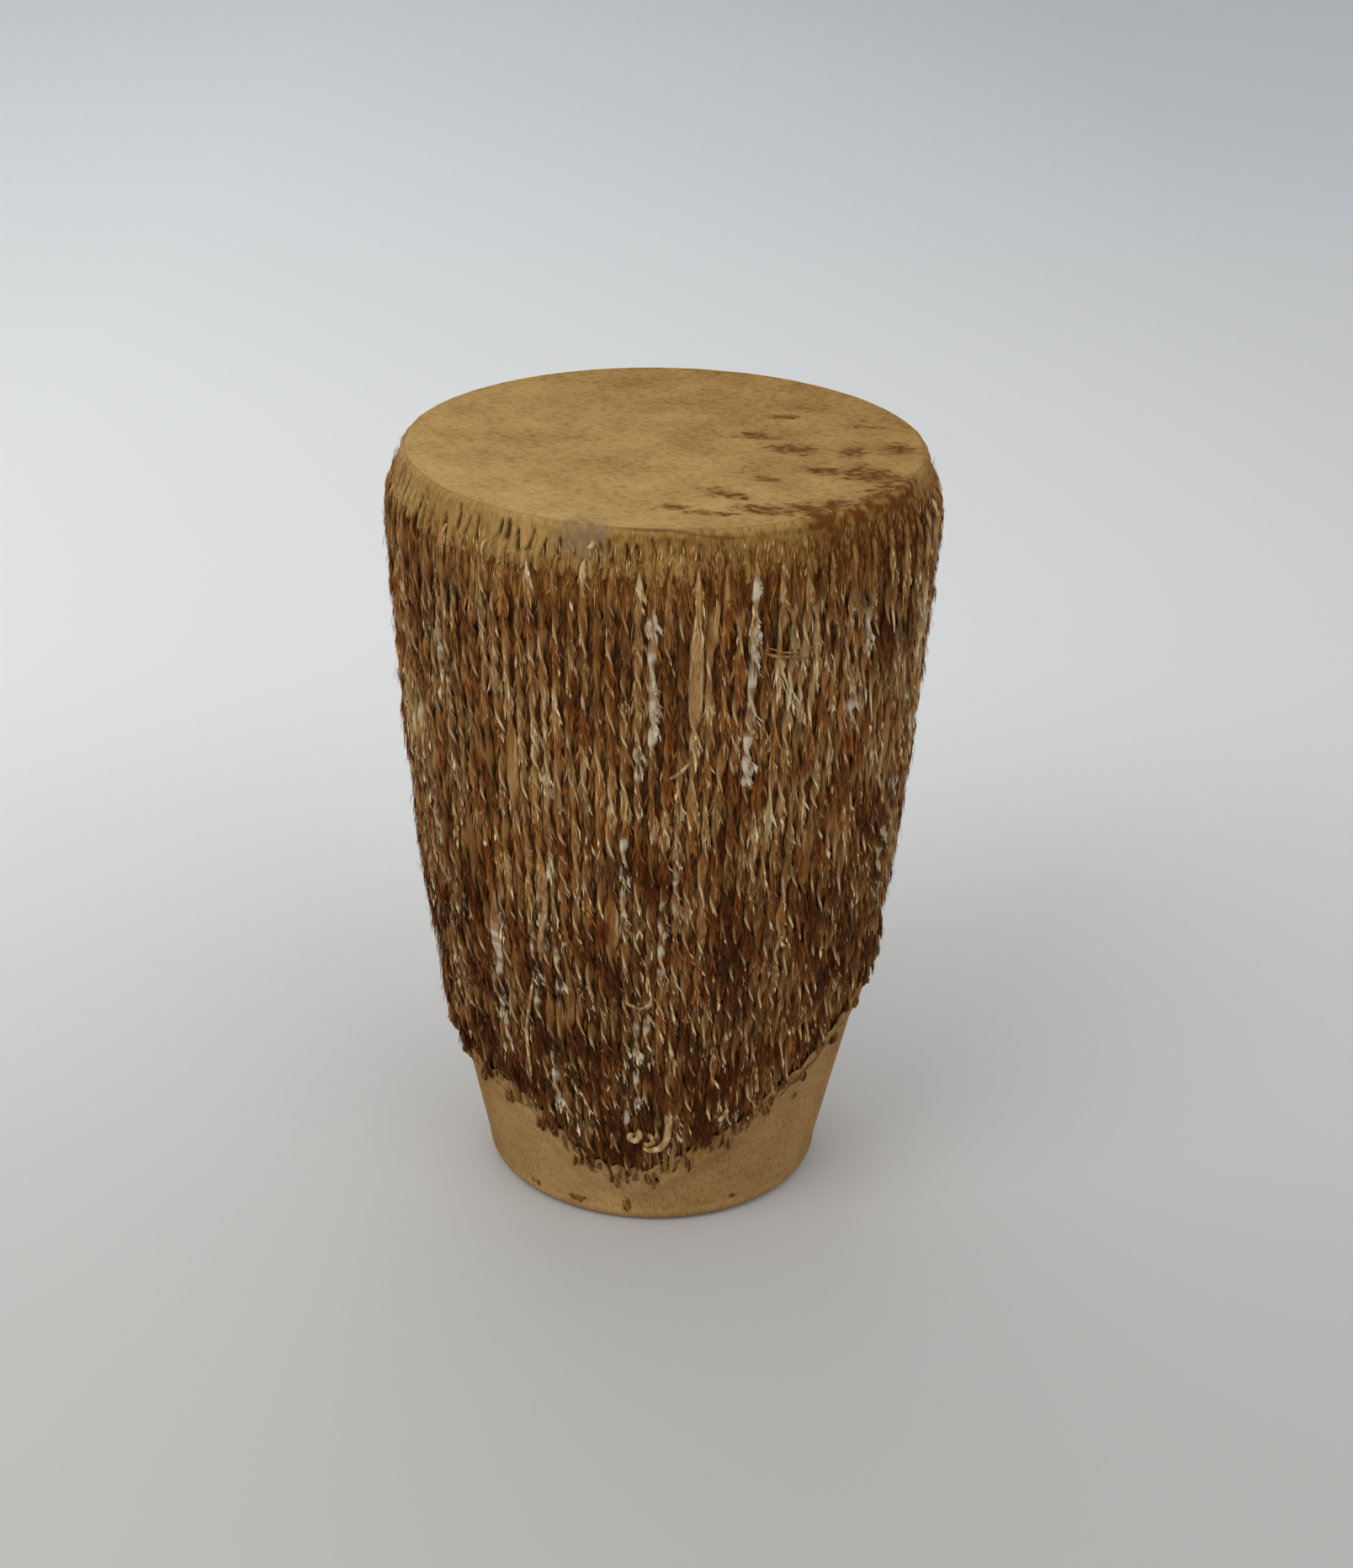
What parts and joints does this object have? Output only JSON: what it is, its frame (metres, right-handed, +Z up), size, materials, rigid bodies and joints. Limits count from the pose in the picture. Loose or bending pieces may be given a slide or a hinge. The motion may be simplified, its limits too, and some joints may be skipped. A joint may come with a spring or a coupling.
{
  "type": "laced hide drum",
  "caption": "Tall tapered drum carved from a log, with a hair-on hide head, a hide round its foot and close upright lacing of twisted hair-on hide thongs that tension the head.",
  "frame": {"origin": "middle of the flat base, on the surface that the drum stands on", "axes": "+Z up along the drum's axis to the playing hide, -Y the front, where the base hide's edge dips lowest"},
  "size_m": [0.272, 0.272, 0.3926],
  "materials": {
    "carved_wood": "adze-carved, dry",
    "head_hide": "short-haired rawhide, satin",
    "foot_hide": "short-haired rawhide, satin",
    "thong_hide": "twisted hair-on rawhide"
  },
  "bodies": {
    "root": {"shell": "carved_wood", "playing_hide": "head_hide", "base_hide": "foot_hide", "lacing_thong_01": "thong_hide", "lacing_thong_02": "thong_hide", "lacing_thong_03": "thong_hide", "lacing_thong_04": "thong_hide", "lacing_thong_05": "thong_hide", "lacing_thong_06": "thong_hide", "lacing_thong_07": "thong_hide", "lacing_thong_08": "thong_hide", "lacing_thong_09": "thong_hide", "lacing_thong_10": "thong_hide", "lacing_thong_11": "thong_hide", "lacing_thong_12": "thong_hide", "lacing_thong_13": "thong_hide", "lacing_thong_14": "thong_hide", "lacing_thong_15": "thong_hide", "lacing_thong_16": "thong_hide", "lacing_thong_17": "thong_hide", "lacing_thong_18": "thong_hide", "lacing_thong_19": "thong_hide", "lacing_thong_20": "thong_hide", "lacing_thong_21": "thong_hide", "lacing_thong_22": "thong_hide", "lacing_thong_23": "thong_hide", "lacing_thong_24": "thong_hide", "lacing_thong_25": "thong_hide", "lacing_thong_26": "thong_hide", "lacing_thong_27": "thong_hide", "lacing_thong_28": "thong_hide", "lacing_thong_29": "thong_hide", "lacing_thong_30": "thong_hide", "lacing_thong_31": "thong_hide", "lacing_thong_32": "thong_hide"}
  },
  "joints": []
}
